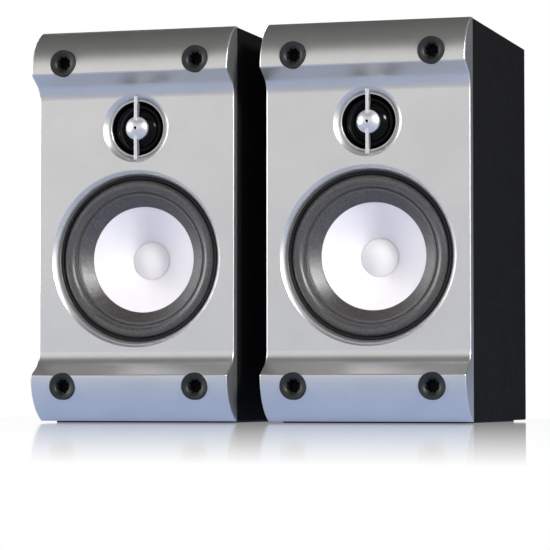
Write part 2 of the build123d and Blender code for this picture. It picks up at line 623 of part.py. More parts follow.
def amp_plate():
    """Steel plate over the back board's cut-out, with a hole for each thing that sits on it."""
    y0, y1 = CAB_D, CAB_D + PANEL_T
    x_half, z_half = PANEL_W / 2, PANEL_H / 2
    body = slab(-x_half, x_half, y0, y1, PANEL_Z - z_half, PANEL_Z + z_half)
    body = fillet(body.edges().filter_by(Axis.Y), 3.0)
    for _, x, _ in KNOBS:
        body -= rod(3.7, y0 - 1, y1 + 1, x, KNOB_Z)
    for x in JACK_X:
        body -= rod(5.5, y0 - 1, y1 + 1, x, JACK_Z)
    body -= slab(SWITCH_X - 6.5, SWITCH_X + 6.5, y0 - 1, y1 + 1, SWITCH_Z - 9.7, SWITCH_Z + 9.7)
    body -= slab(INLET_X - 11.6, INLET_X + 11.6, y0 - 1, y1 + 1, INLET_Z - 8.1, INLET_Z + 8.1)
    well_w, well_h = WELL_W / 2 + 0.1, WELL_H / 2 + 0.1
    body -= slab(OUT_CUP_X - well_w, OUT_CUP_X + well_w, y0 - 1, y1 + 1, OUT_CUP_Z - well_h, OUT_CUP_Z + well_h)
    for x, z in panel_screw_places():
        body -= rod(SCREW_R + 0.2, y0 - 1, y1 + 1, x, z)
    for x, z in flange_corners(OUT_CUP_X, OUT_CUP_Z, CUP_W / 2 - 4, CUP_H / 2 - 4):
        body -= rod(SCREW_R + 0.05, y0 - 1, y1 + 1, x, z)
    return body


def panel_screw_places():
    """The plate's screws: its corners and the middle of its long sides."""
    half_w, half_h = PANEL_W / 2 - PANEL_LAP / 2, PANEL_H / 2 - PANEL_LAP / 2
    return [(s * half_w, PANEL_Z + k * half_h) for s in (-1, 1) for k in (-1, 1)] + \
           [(s * half_w, PANEL_Z + 32) for s in (-1, 1)]


def amp_board():
    """Circuit board with its three controls, two capacitors and a heat spreader."""
    y_board = 134.0
    pieces = [slab(-40, 40, y_board - 1.6, y_board, 112, 150)]
    for _, x, _ in KNOBS:
        pot = slab(x - 6, x + 6, y_board + 0.05, CAB_D - 0.1, KNOB_Z - 6, KNOB_Z + 6)
        pot += rod(3.5, CAB_D - 1, CAB_D + PANEL_T + 1.0, x, KNOB_Z)
        pot += rod(SHAFT_R, CAB_D, CAB_D + 12, x, KNOB_Z)
        pieces.append(pot)
    for x in (-18.0, 10.0):
        pieces.append(rod(6.5, y_board - 24, y_board - 1.65, x, 132))
    pieces.append(slab(24, 38, y_board - 20, y_board - 1.65, 116, 146))
    return group(pieces)


def transformer():
    """Laminated core, one coil on a bobbin, and a mounting strap, on the sleeve's floor."""
    core = slab(-24, 24, 96, 118, WALL, WALL + 40)
    for x0, x1 in ((-16, -8), (8, 16)):
        core -= slab(x0, x1, 95, 119, WALL + 8, WALL + 32)
    coil = slab(-15.8, 15.8, 88, 126, WALL + 8.2, WALL + 31.8) - slab(-8.2, 8.2, 87, 127, WALL + 7, WALL + 33)
    outside = slab(-40, 40, 95.9, 118.1, 0, 60) - slab(-15.9, 15.9, 90, 124, WALL + 8.1, WALL + 31.9)
    strap = slab(-34, 34, 100, 114, WALL, WALL + 1.2) - slab(-24.1, 24.1, 99, 115, 0, 60)
    return group([core, coil - outside, strap])


def back_board(side):
    body = board(CAB_D - WALL, CAB_D) - port_hole()
    if side == "left":
        half_w, half_h = WELL_W / 2 + 0.2, WELL_H / 2 + 0.2
        body -= slab(-half_w, half_w, CAB_D - 20, CAB_D + 1, LEFT_CUP_Z - half_h, LEFT_CUP_Z + half_h)
    else:
        body -= slab(-PANEL_W / 2 + PANEL_LAP, PANEL_W / 2 - PANEL_LAP, CAB_D - 20, CAB_D + 1,
                     PANEL_Z - PANEL_H / 2 + PANEL_LAP, PANEL_Z + PANEL_H / 2 - PANEL_LAP)
    for x, z, _ in back_screws(side):
        body -= rod(SCREW_R + 0.05, CAB_D - 20, CAB_D + 1, x, z)
    return body


def back_screws(side):
    """The screws that show at the back, as (x, z, head's y)."""
    if side == "left":
        corners = flange_corners(0, LEFT_CUP_Z, CUP_W / 2 - 4, CUP_H / 2 - 4)
        return [(x, z, CAB_D + 2.0 + HEAD_H) for x, z in corners]
    return [(x, z, CAB_D + PANEL_T + HEAD_H) for x, z in panel_screw_places()]


def fixing_screws(side):
    """All the same screws of one speaker, in one node."""
    rear = [screw(y, y - 10.0, x, z) for x, z, y in back_screws(side)]
    if side == "right":
        corners = flange_corners(OUT_CUP_X, OUT_CUP_Z, CUP_W / 2 - 4, CUP_H / 2 - 4)
        seat = CAB_D + PANEL_T + 2.0 + HEAD_H
        rear += [screw(seat, seat - 8.0, x, z) for x, z in corners]
    return group(front_screws() + rear)


# ---- assembly -------------------------------------------------------------------------------
COMMON = {
    "cabinet_sleeve": cabinet_sleeve, "baffle_board": baffle_board, "faceplate": faceplate,
    "grille_sockets": grille_sockets, "woofer_frame": woofer_frame, "woofer_trim_ring": woofer_trim_ring,
    "woofer_surround": woofer_surround, "woofer_cone": woofer_cone, "woofer_dust_cap": woofer_dust_cap,
    "woofer_voice_coil": woofer_voice_coil, "woofer_spider": woofer_spider,
    "woofer_top_plate": woofer_top_plate, "woofer_magnet": woofer_magnet, "woofer_yoke": woofer_yoke,
    "tweeter_housing": tweeter_housing, "tweeter_dome": tweeter_dome, "tweeter_motor": tweeter_motor,
    "phase_plug": phase_plug, "port_tube": port_tube, "base_pad": base_pad,
}
shared = {name: make() for name, make in COMMON.items()}

for side, sign in (("left", -1), ("right", 1)):
    pieces = dict(shared)
    pieces["back_board"] = back_board(side)
    pieces["fixing_screws"] = fixing_screws(side)
    if side == "left":
        cup = (0.0, LEFT_CUP_Z, CAB_D)
    else:
        cup = (OUT_CUP_X, OUT_CUP_Z, CAB_D + PANEL_T)
        pieces["amp_plate"] = amp_plate()
        pieces["amp_board"] = amp_board()
        pieces["transformer"] = transformer()
        pieces["rca_jacks"] = rca_jacks()
        pieces["power_switch_body"] = switch_body()
        pieces["power_rocker"] = power_rocker()
        pieces["mains_inlet"] = mains_inlet()
        for name, x, r in KNOBS:
            pieces[name] = knob(x, r)
    pieces["terminal_cup"] = terminal_cup(*cup)
    pieces["terminal_lever_red"] = terminal_lever(1, *cup)
    pieces["terminal_lever_black"] = terminal_lever(-1, *cup)
    for name, shape in pieces.items():
        nodes[f"{side}_{name}"] = Pos(sign * PAIR_X, SHIFT_Y, PAD_H) * shape

for name, shape in nodes.items():
    export_step(shape, f"parts/{name}.step")
print(len(nodes), "nodes")
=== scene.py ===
import json
from math import atan2, cos, pi, radians, sin, sqrt

import bmesh
import bpy
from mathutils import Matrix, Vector
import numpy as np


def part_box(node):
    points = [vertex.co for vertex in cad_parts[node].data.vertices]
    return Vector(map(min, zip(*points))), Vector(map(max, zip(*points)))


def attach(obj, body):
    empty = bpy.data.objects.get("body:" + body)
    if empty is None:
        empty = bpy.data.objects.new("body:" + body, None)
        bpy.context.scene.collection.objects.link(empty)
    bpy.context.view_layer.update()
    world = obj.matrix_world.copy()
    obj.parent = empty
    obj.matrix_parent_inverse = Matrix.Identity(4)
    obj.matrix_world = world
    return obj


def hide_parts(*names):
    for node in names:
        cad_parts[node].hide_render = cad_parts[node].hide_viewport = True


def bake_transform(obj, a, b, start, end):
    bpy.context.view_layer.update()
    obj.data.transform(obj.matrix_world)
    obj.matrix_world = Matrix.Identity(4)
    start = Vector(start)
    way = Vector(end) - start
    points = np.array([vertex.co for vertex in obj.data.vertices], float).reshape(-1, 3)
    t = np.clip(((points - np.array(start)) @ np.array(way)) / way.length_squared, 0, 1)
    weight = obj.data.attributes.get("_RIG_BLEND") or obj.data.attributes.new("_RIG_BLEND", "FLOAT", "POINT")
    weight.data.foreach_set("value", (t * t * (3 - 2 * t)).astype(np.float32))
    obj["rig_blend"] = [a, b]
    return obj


# Looks for a pair of desktop speakers. Shapes are written in millimetres in each speaker's own frame:
# x = 0 in its middle, y = 0 at the front edge of its cabinet, the front faces -Y, z = 0 under its cabinet.

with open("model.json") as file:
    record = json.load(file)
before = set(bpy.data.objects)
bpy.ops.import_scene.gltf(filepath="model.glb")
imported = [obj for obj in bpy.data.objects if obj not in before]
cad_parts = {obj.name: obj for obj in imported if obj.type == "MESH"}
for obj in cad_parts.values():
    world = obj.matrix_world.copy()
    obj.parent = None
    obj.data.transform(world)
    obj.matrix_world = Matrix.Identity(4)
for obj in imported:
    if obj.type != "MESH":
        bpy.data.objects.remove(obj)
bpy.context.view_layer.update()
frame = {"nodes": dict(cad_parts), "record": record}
scene = bpy.context.scene

MM = 0.001
SIDES = ("left", "right")
CAB_W, CAB_H, CAB_D, WALL = 124.0, 236.0, 154.0, 9.0
SEAT_Y = CAB_D + 1.5     # outside of the amplifier's plate

# grille sockets: places from the middle and from either end, and the cup's own sizes
SOCKET_X, SOCKET_END, SOCKET_OUT, SOCKET_FLOOR = 41.7, 20.8, 20.4, 9.5
CUP_R, CUP_LENGTH, DISH_R, BORE_R, BORE_RIBS, RIB_DEPTH = 8.1, 12.3, 7.25, 4.15, 8, 0.75

# woofer
WOOFER_Z = 97.6
RING_R, RING_OUT_R, RING_BACK = 48.2, 49.7, 1.2
ROLL_OUT_R, ROLL_IN_R, ROLL_SAG = 48.1, 40.4, 3.0
GREY_IN_R, SURROUND_THICK = 32.0, 0.5
CONE_SLOPE, CONE_EDGE_Y = 0.757, 1.75
CONE_R, CONE_NECK_R, CONE_GAP, CONE_THICK = 39.0, 10.3, 0.55, 0.8
CAP_R, CAP_H = 11.2, 4.2
SPIDER_Y, SPIDER_FLAT_R, SPIDER_R, SPIDER_IN_R = 32.2, 24.5, 28.9, 10.25
SPIDER_WAVES, WAVE_H, SPIDER_THICK = 4, 0.8, 0.45

# tweeter and phase plug
TWEETER_Z = 176.3
DOME_R, DOME_H, DOME_BASE_Y, TW_ROLL_R, FILM_THICK = 10.4, 3.5, 0.4, 14.9, 0.35
FORMER_OUT_R, FORMER_IN_R, FORMER_END = 10.0, 9.6, 6.9
COLLAR_R, COLLAR_FRONT, FLANGE_R, FLANGE_FRONT, FLANGE_BACK = 16.3, -2.6, 23.9, 0.65, 2.95
BULLET_R, BULLET_FRONT, BULLET_BACK, BULLET_BORE_R = 7.0, -7.6, -2.4, 0.85
BAR_NEAR, BAR_FAR, BAR_W = 4.6, 19.2, 1.8

# port and base pad
PORT_Z, PORT_R, PORT_WALL, PORT_LENGTH, PORT_FLARE = 196.0, 17.0, 2.0, 70.0, 6.0
PAD_INSET, PAD_CORNER, PAD_H = 6.0, 4.0, 1.0

# back: terminal cups on their seats, knobs, jacks and the mains inlet
CUP_PLACE = {"left": (0.0, CAB_D, 62.0), "right": (-13.0, SEAT_Y, 58.0)}
CLIP_X, LEVER_W, PIVOT_Y, PIVOT_Z, PIVOT_REACH = 11.0, 13.0, -6.0, 12.0, 2.3
KNOBS = (("volume_knob", -26.0, 9.0), ("treble_knob", 2.0, 6.5), ("bass_knob", 26.0, 6.5))
KNOB_Z, KNOB_OUT, KNOB_TURN, TICKS = 132.0, 17.0, 150.0, 11
JACKS = (("red", -34.0), ("white", -17.0))
JACK_Z, JACK_OUT, BARREL_R, JACK_BLOCK = 101.0, 9.5, 4.15, 12.0
INLET_X, INLET_Z, INLET_PIN_X, INLET_PIN_R = 28.5, 58.0, 4.3, 1.2


def speaker_origin(side):
    low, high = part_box(f"{side}_cabinet_sleeve")
    return Vector(((low.x + high.x) / 2, low.y, low.z))


ORIGIN = {side: speaker_origin(side) for side in SIDES}


def grey_y(r):
    """Front of the surround's inner lip at radius r."""
    return CONE_EDGE_Y + (ROLL_IN_R - r) * CONE_SLOPE


# ---- meshes ---------------------------------------------------------------------------------
def soft(points, radius=0.3, closed=True, steps=5):
    """An outline with rounded corners. A point is (a, b) or (a, b, radius of its own)."""
    out, count = [], len(points)
    for k, point in enumerate(points):
        own = point[2] if len(point) > 2 else radius
        here = Vector(point[:2])
        if own <= 0 or (not closed and k in (0, count - 1)):
            out.append(tuple(here))
            continue
        back = Vector(points[k - 1][:2]) - here
        on = Vector(points[(k + 1) % count][:2]) - here
        angle = back.angle(on, pi)
        if angle > pi - 0.02:
            out.append(tuple(here))
            continue
        reach = min(own / max(sin(angle / 2), 1e-6) * cos(angle / 2), 0.48 * back.length, 0.48 * on.length)
        start, end = here + back.normalized() * reach, here + on.normalized() * reach
        for i in range(steps + 1):
            t = i / steps
            out.append(tuple(start * (1 - t) ** 2 + here * 2 * t * (1 - t) + end * t * t))
    return out


def bow(p0, p1, sag, steps=16):
    """Points on an arc from p0 to p1 that bows by sag to the left of the chord, ends left out."""
    a, b = Vector(p0), Vector(p1)
    chord = b - a
    side = Vector((-chord.y, chord.x)).normalized()
    half = chord.length / 2
    radius = (half * half + sag * sag) / (2 * abs(sag))
    sign = 1 if sag > 0 else -1
    centre = (a + b) / 2 + side * (sag - sign * radius)
    span = atan2(half, radius - abs(sag))
    turns = [span * (2 * k / steps - 1) for k in range(1, steps)]
    up, along = side * sign * radius, chord.normalized() * radius
    return [tuple(centre + up * cos(t) + along * sin(t)) for t in turns]


def cap(apex_y, rim_r, rim_y, steps=16):
    """Points on a spherical cap's section, from the axis to the rim."""
    height = rim_y - apex_y
    radius = (rim_r * rim_r + height * height) / (2 * height)
    half = atan2(rim_r, radius - height)
    turns = [half * k / steps for k in range(steps + 1)]
    return [(radius * sin(t), apex_y + radius * (1 - cos(t))) for t in turns]


def lathe(outline, x=0.0, z=0.0, count=160, wave=None):
    """A closed (r, y) outline turned about Y. wave(angle, r, y) may move each point."""
    verts, faces, rings = [], [], []
    for r, y in outline:
        if r < 1e-6:
            rings.append([len(verts)] * count)
            verts.append((x, y, z))
            continue
        rings.append(list(range(len(verts), len(verts) + count)))
        for k in range(count):
            a = 2 * pi * k / count
            rr, yy = wave(a, r, y) if wave else (r, y)
            verts.append((x + rr * cos(a), yy, z + rr * sin(a)))
    for ring, after in zip(rings, rings[1:] + rings[:1]):
        for k in range(count):
            quad = (ring[k], ring[(k + 1) % count], after[(k + 1) % count], after[k])
            face = tuple(dict.fromkeys(quad))
            if len(face) > 2:
                faces.append(face)
    return verts, faces


def prism(outline, x0, x1):
    """A closed (y, z) outline extruded along X."""
    n = len(outline)
    verts = [(x, y, z) for x in (x0, x1) for y, z in outline]
    faces = [tuple(range(n)), tuple(range(n, 2 * n))]
    faces += [(k, (k + 1) % n, n + (k + 1) % n, n + k) for k in range(n)]
    return verts, faces


def block(x0, x1, y0, y1, z0, z1):
    return prism([(y0, z0), (y1, z0), (y1, z1), (y0, z1)], x0, x1)


def moved(shape, x, y, z):
    verts, faces = shape
    return [(a + x, b + y, c + z) for a, b, c in verts], faces


def piece(name, side, body, shapes, material, slot, replaces=(), bevel=0.0, crease=32, second=None):
    """One object from several shapes, in the place of the CAD nodes it replaces. second is another
    material and a test that says which faces have it, by their middle in millimetres."""
    base = ORIGIN[side]
    mesh = bpy.data.meshes.new(name)
    build = bmesh.new()
    for verts, faces in shapes:
        made = [build.verts.new((base.x + x * MM, base.y + y * MM, base.z + z * MM)) for x, y, z in verts]
        for face in faces:
            build.faces.new([made[k] for k in face])
    bmesh.ops.recalc_face_normals(build, faces=build.faces)
    build.to_mesh(mesh)
    build.free()
    mesh.shade_smooth()
    mesh.set_sharp_from_angle(angle=radians(crease))
    mesh.materials.append(material)
    if second:
        mesh.materials.append(second[0])
        for face in mesh.polygons:
            face.material_index = int(second[1]((face.center - base) / MM))
    obj = bpy.data.objects.new(name, mesh)
    scene.collection.objects.link(obj)
    if bevel:
        edge = obj.modifiers.new("edges", "BEVEL")
        edge.width, edge.segments, edge.limit_method = bevel * MM, 3, "ANGLE"
        edge.angle_limit, edge.harden_normals = radians(40), True
    if isinstance(body, str):
        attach(obj, body)
    else:
        fixed, moving, weight = body
        middle = Vector((base.x, base.y, base.z))
        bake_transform(obj, fixed, moving, start=middle, end=middle + Vector((0, 0.01, 0)))
        weights = [weight((v.co - base) / MM) for v in mesh.vertices]
        mesh.attributes["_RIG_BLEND"].data.foreach_set("value", weights)
    if replaces:
        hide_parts(*replaces)
    return obj


# ---- materials ------------------------------------------------------------------------------
def socket_set(node, **values):
    for key, value in values.items():
        node.inputs[key.replace("_", " ")].default_value = value


class Graph:
    """A node tree, with short ways to add to it."""

    def __init__(self, tree):
        self.tree = tree

    def node(self, kind, **settings):
        made = self.tree.nodes.new(kind)
        for key, value in settings.items():
            setattr(made, key, value)
        return made

    def link(self, a, b):
        self.tree.links.new(a, b)

    def axes(self, coordinates):
        """The X, Y and Z outputs of one kind of texture coordinates."""
        split = self.node("ShaderNodeSeparateXYZ")
        self.link(self.node("ShaderNodeTexCoord").outputs[coordinates], split.inputs[0])
        return split.outputs

    def ramp(self, value, low, high, to_low=0.0, to_high=1.0, kind="SMOOTHSTEP"):
        """A value's way from low to high, turned into one from to_low to to_high."""
        made = self.node("ShaderNodeMapRange", interpolation_type=kind)
        for key, number in zip(("From Min", "From Max", "To Min", "To Max"), (low, high, to_low, to_high)):
            made.inputs[key].default_value = number
        self.link(value, made.inputs["Value"])
        return made.outputs["Result"]

    def maths(self, operation, a, b):
        made = self.node("ShaderNodeMath", operation=operation)
        for k, value in enumerate((a, b)):
            if isinstance(value, (int, float)):
                made.inputs[k].default_value = value
            else:
                self.link(value, made.inputs[k])
        return made.outputs[0]

    def by_ray(self, others, camera):
        """One shader for the camera's rays and another for all other rays."""
        made = self.node("ShaderNodeMixShader")
        self.link(self.node("ShaderNodeLightPath").outputs["Is Camera Ray"], made.inputs[0])
        self.link(others, made.inputs[1])
        self.link(camera, made.inputs[2])
        return made.outputs[0]


class Finish(Graph):
    """A Principled material with a grain in its colour, its gloss and its surface."""

    def __init__(self, name, colour, rough, metal=0.0, specular=0.5, sheen=0.0):
        self.material = bpy.data.materials.new(name)
        self.material.use_nodes = True
        super().__init__(self.material.node_tree)
        self.bsdf = self.tree.nodes["Principled BSDF"]
        socket_set(self.bsdf, Base_Color=(*colour, 1), Roughness=rough, Metallic=metal)
        self.bsdf.inputs["Specular IOR Level"].default_value = specular
        self.bsdf.inputs["Sheen Weight"].default_value = sheen
        self.colour, self.rough, self.normal = colour, rough, None
        self.place = self.node("ShaderNodeTexCoord").outputs["Object"]

    def stretched(self, scale):
        """Object coordinates scaled by three factors."""
        mapping = self.node("ShaderNodeMapping")
        mapping.inputs["Scale"].default_value = scale
        self.link(self.place, mapping.inputs["Vector"])
        return mapping.outputs["Vector"]

    def noise(self, size, detail=3.0, roughness=0.55, stretch=None):
        """Noise whose grains are about size millimetres."""
        made = self.node("ShaderNodeTexNoise")
        socket_set(made, Scale=1 / (size * MM), Detail=detail, Roughness=roughness)
        self.link(self.stretched(stretch) if stretch else self.place, made.inputs["Vector"])
        return made.outputs["Fac"]

    def cells(self, size, feature="F1"):
        """Distances in a pattern of cells about size millimetres wide."""
        made = self.node("ShaderNodeTexVoronoi", feature=feature)
        socket_set(made, Scale=1 / (size * MM))
        self.link(self.place, made.inputs["Vector"])
        return made.outputs["Distance"]

    def stripes(self, pitch, axis):
        """Waves across an axis, one every pitch millimetres."""
        made = self.node("ShaderNodeTexWave", wave_type="BANDS", bands_direction=axis)
        socket_set(made, Scale=1 / (pitch * MM) / 20 * pi, Distortion=0.0)
        self.link(self.place, made.inputs["Vector"])
        return made.outputs["Fac"]

    def tint(self, factor, other):
        """Mix the colour so far with another one by a factor."""
        made = self.node("ShaderNodeMix", data_type="RGBA")
        now = self.bsdf.inputs["Base Color"]
        if now.is_linked:
            self.link(now.links[0].from_socket, made.inputs["A"])
        else:
            made.inputs["A"].default_value = (*self.colour, 1)
        made.inputs["B"].default_value = (*other, 1)
        self.link(factor, made.inputs["Factor"])
        self.link(made.outputs["Result"], now)
        return self

    def gloss(self, value, low, high, spread):
        """Roughness that wanders by spread round its value."""
        self.link(self.ramp(value, low, high, self.rough - spread, self.rough + spread),
                  self.bsdf.inputs["Roughness"])
        return self

    def bump(self, height, depth):
        """A relief of that depth, in millimetres, on top of the ones before."""
        made = self.node("ShaderNodeBump")
        socket_set(made, Strength=1.0, Distance=depth * MM)
        self.link(height, made.inputs["Height"])
        if self.normal:
            self.link(self.normal, made.inputs["Normal"])
        self.normal = made.outputs["Normal"]
        self.link(self.normal, self.bsdf.inputs["Normal"])
        return self


def moulded(name, colour, rough, grain=0.5, depth=0.012, lift=1.6, **more):
    """Moulded plastic, rubber or paint: a fine even grain and a slow drift of tone."""
    made = Finish(name, colour, rough, **more)
    fine, slow = made.noise(grain), made.noise(14.0, detail=2)
    made.tint(made.ramp(fine, 0.35, 0.7), tuple(min(1, c * lift) for c in colour))
    made.tint(made.ramp(slow, 0.3, 0.75, 0.0, 0.35), tuple(c * 0.8 for c in colour))
    made.gloss(slow, 0.3, 0.7, 0.04)
    return made.bump(fine, depth)


def silver_paint():
    made = Finish("silver_paint", (0.665, 0.655, 0.635), 0.35, metal=0.88)
    flake, orange, slow = made.noise(0.3, detail=3), made.noise(1.6, detail=2), made.noise(30.0, detail=2)
    made.tint(made.ramp(flake, 0.38, 0.66), (0.765, 0.755, 0.735))
    made.tint(made.ramp(slow, 0.35, 0.7, 0.0, 0.3), (0.615, 0.605, 0.59))
    made.gloss(flake, 0.3, 0.7, 0.05)
    return made.bump(flake, 0.012).bump(orange, 0.006).material


def vinyl():
    """Black vinyl wrap with a fine leather grain."""
    made = Finish("vinyl_wrap", (0.006, 0.006, 0.0062), 0.8, specular=0.05)
    cell = made.cells(1.1, feature="DISTANCE_TO_EDGE")
    fine, slow = made.noise(0.5), made.noise(25.0, detail=2)
    # the grain's crevices are tinted a touch darker: painted shade in the creases
    made.tint(made.ramp(cell, 0.0, 0.16, 1.0, 0.0), (0.006, 0.0057, 0.0055))
    made.tint(made.ramp(fine, 0.5, 0.68, 0.0, 0.9), (0.042, 0.04, 0.038))
    made.gloss(slow, 0.3, 0.7, 0.05)
    return made.bump(made.ramp(cell, 0.0, 0.3), 0.09).bump(fine, 0.04).material


def foam_rubber():
    """The surround's grey, speckled skin."""
    made = Finish("foam_rubber", (0.036, 0.032, 0.03), 0.35, specular=1.0)
    speck, pore, slow = made.noise(0.75, detail=4, roughness=0.75), made.cells(0.8), made.noise(9.0, detail=2)
    made.tint(made.ramp(speck, 0.48, 0.68), (0.14, 0.13, 0.124))
    made.tint(made.ramp(pore, 0.0, 0.25, 0.75, 0.0), (0.032, 0.03, 0.029))
    made.gloss(slow, 0.3, 0.7, 0.05)
    return made.bump(speck, 0.09).bump(pore, 0.06).material


def coated_paper(name, colour, shade):
    made = Finish(name, colour, 0.6, specular=0.25, sheen=0.05)
    fibre, slow = made.noise(0.7, detail=5, roughness=0.7), made.noise(22.0, detail=2)
    made.tint(made.ramp(fibre, 0.35, 0.8, 0.0, 0.5), shade)
    made.tint(made.ramp(slow, 0.4, 0.75, 0.0, 0.4), shade)
    made.gloss(slow, 0.3, 0.7, 0.05)
    return made.bump(fibre, 0.02).material


def woven_cloth():
    made = Finish("spider_cloth", (0.5, 0.38, 0.18), 0.8, sheen=0.3)
    weave = made.maths("MULTIPLY", made.stripes(0.6, "X"), made.stripes(0.6, "Z"))
    made.tint(made.ramp(weave, 0.1, 0.7, 1.0, 0.0), (0.3, 0.2, 0.08))
    made.gloss(weave, 0.1, 0.7, 0.05)
    return made.bump(weave, 0.12).material


def wound_coil():
    made = Finish("voice_coil", (0.42, 0.24, 0.1), 0.45, metal=0.3)
    turns = made.stripes(0.35, "Y")
    made.tint(made.ramp(turns, 0.3, 0.8), (0.72, 0.36, 0.15))
    made.gloss(turns, 0.2, 0.8, 0.06)
    return made.bump(turns, 0.08).material


def brushed(name, colour, rough, stretch=(1, 0.06, 1), depth=0.006, metal=1.0):
    made = Finish(name, colour, rough, metal=metal)
    lines, slow = made.noise(0.25, detail=3, stretch=stretch), made.noise(12.0, detail=2)
    made.tint(made.ramp(lines, 0.35, 0.7), tuple(c * 0.78 for c in colour))
    made.gloss(slow, 0.3, 0.7, 0.07)
    return made.bump(lines, depth).material


def laminated():
    made = Finish("laminated_core", (0.16, 0.16, 0.17), 0.45, metal=0.7)
    sheets = made.stripes(0.8, "Y")
    made.tint(made.ramp(sheets, 0.2, 0.6, 1.0, 0.0), (0.05, 0.045, 0.04))
    made.gloss(made.noise(3.0), 0.3, 0.7, 0.08)
    return made.bump(sheets, 0.1).material


def circuit_board():
    made = Finish("circuit_board", (0.02, 0.15, 0.06), 0.4, specular=0.5)
    tracks = made.node("ShaderNodeTexBrick")
    socket_set(tracks, Scale=180.0, Mortar_Size=0.06)
    made.link(made.place, tracks.inputs["Vector"])
    made.tint(made.ramp(tracks.outputs["Fac"], 0.2, 0.8), (0.05, 0.3, 0.13))
    made.gloss(made.noise(2.0), 0.3, 0.7, 0.06)
    return made.bump(tracks.outputs["Fac"], 0.03).material


SILVER, VINYL, FOAM = silver_paint(), vinyl(), foam_rubber()
CONE_WHITE = coated_paper("cone_paper", (0.94, 0.905, 0.915), (0.9, 0.865, 0.88))
CAP_WHITE = coated_paper("cap_paper", (0.97, 0.935, 0.91), (0.92, 0.885, 0.865))
BLACK_PLASTIC = moulded("black_plastic", (0.02, 0.02, 0.022), 0.5, grain=0.45, depth=0.02).material
TRIM_BLACK = moulded("trim_black", (0.008,) * 3, 0.45, grain=0.3, depth=0.006, specular=0.25).material
RUBBER = moulded("socket_rubber", (0.006, 0.006, 0.0065), 0.5, grain=0.35, depth=0.01).material
# near-black painted shade, darker than the rubber and metal round it, for the insides of holes and the gap
# round the sockets' rims
HOLE_SHADE = moulded("painted_hole_shade", (0.003,) * 3, 0.8, grain=0.35).material
FILM = moulded("dome_film", (0.002,) * 3, 0.12, grain=0.8, depth=0.001, specular=0.12).material
GLOSS_BLACK = moulded("gloss_black", (0.002,) * 3, 0.14, grain=0.6, depth=0.001, specular=0.15).material
GLUE = moulded("rim_glue", (0.8, 0.73, 0.69), 0.4, grain=0.8, depth=0.02, lift=1.1).material
PRINT = moulded("white_print", (0.75, 0.75, 0.74), 0.5, grain=0.4, lift=1.05).material
NICKEL = brushed("nickel", (0.78, 0.76, 0.72), 0.2)
SLOT_LOOK = {
    "wrap": VINYL,
    "board": moulded("painted_board", (0.018, 0.018, 0.019), 0.72, grain=0.6, depth=0.05, lift=2.2).material,
    "silver": SILVER,
    "socket_rubber": RUBBER,
    "frame_paint": moulded("powder_coat", (0.022, 0.022, 0.023), 0.45, grain=0.7, depth=0.04).material,
    "trim_black": TRIM_BLACK,
    "surround_rubber": FOAM,
    "spider_cloth": woven_cloth(),
    "cone": CONE_WHITE,
    "cap": CAP_WHITE,
    "coil": wound_coil(),
    "steel": brushed("zinc_steel", (0.56, 0.57, 0.59), 0.32),
    "ferrite": moulded("ferrite", (0.06, 0.06, 0.065), 0.6, grain=0.3, depth=0.03, lift=1.5).material,
    "black_plastic": BLACK_PLASTIC,
    "dome": FILM,
    "bright": brushed("bright_silver", (0.8, 0.8, 0.82), 0.33, stretch=(1, 1, 1), depth=0.002, metal=0.75),
    "foot": moulded("foot_rubber", (0.025, 0.025, 0.026), 0.8, grain=0.6, depth=0.05).material,
    "screw": moulded("black_oxide", (0.03, 0.03, 0.033), 0.33, grain=0.25, metal=0.8, depth=0.008).material,
    "red_plastic": moulded("red_plastic", (0.42, 0.012, 0.012), 0.35, grain=0.45, lift=1.25).material,
    "plate_paint": moulded("plate_paint", (0.03, 0.03, 0.032), 0.5, grain=0.55, depth=0.06,
                           lift=1.9).material,
    "circuit": circuit_board(),
    "core": laminated(),
    "jack": NICKEL,
}
for row in frame["record"]["subparts"]:
    look = frame["nodes"][row["node"]].data.materials
    look.clear()
    look.append(SLOT_LOOK[row["material_slot"]])


# ---- cabinet --------------------------------------------------------------------------------
def sleeve():
    """The wrapped tube: its outer and inner skins and its two end frames."""
    outer = [(-CAB_W / 2, 0), (CAB_W / 2, 0), (CAB_W / 2, CAB_H), (-CAB_W / 2, CAB_H)]
    inner = [(-CAB_W / 2 + WALL, WALL), (CAB_W / 2 - WALL, WALL),
             (CAB_W / 2 - WALL, CAB_H - WALL), (-CAB_W / 2 + WALL, CAB_H - WALL)]
    verts = [(x, y, z) for y in (0, CAB_D) for loop in (outer, inner) for x, z in loop]
    faces = []
    for k in range(4):
        j = (k + 1) % 4
        faces += [(k, j, 8 + j, 8 + k), (4 + k, 4 + j, 12 + j, 12 + k),
                  (k, j, 4 + j, 4 + k), (8 + k, 8 + j, 12 + j, 12 + k)]
    return verts, faces


# ---- grille sockets -------------------------------------------------------------------------
def socket_cup(x, z):
    """A flat-fronted cup: a rim, a shallow dish and a ribbed blind bore."""
    front = -SOCKET_OUT
    back, dish_edge, dish_foot = front + CUP_LENGTH, (DISH_R, front + 0.12), (4.5, front + 1.25)
    outline = [(CUP_R, back), (CUP_R, front + 0.3), (8.02, front + 0.1), (7.85, front), (7.45, front)]
    outline += [dish_edge] + bow(dish_edge, dish_foot, 0.3, 8) + [dish_foot]
    outline += [(4.3, front + 1.36), (4.2, front + 1.6), (BORE_R, front + 2.2)]
    outline += [(BORE_R, -SOCKET_FLOOR), (0, -SOCKET_FLOOR), (0, back)]

    def ribbed(a, r, y):
        """The bore's points move in where a rib is."""
        in_bore = 4 < r < 4.25
        return (r - RIB_DEPTH * max(0.0, cos(BORE_RIBS * a)) ** 2 if in_bore else r), y

    return lathe(outline, x=x, z=z, count=96, wave=ribbed)


def cup_painted_shade(point):
    """Faces of a cup that get painted shade, near-black: its bore, and the outer edge of its rim."""
    dx = abs(point.x) - SOCKET_X
    r = min(sqrt(dx ** 2 + (point.z - z) ** 2) for z in (SOCKET_END, CAB_H - SOCKET_END))
    return r < BORE_R + 0.15 or r > CUP_R - 0.2


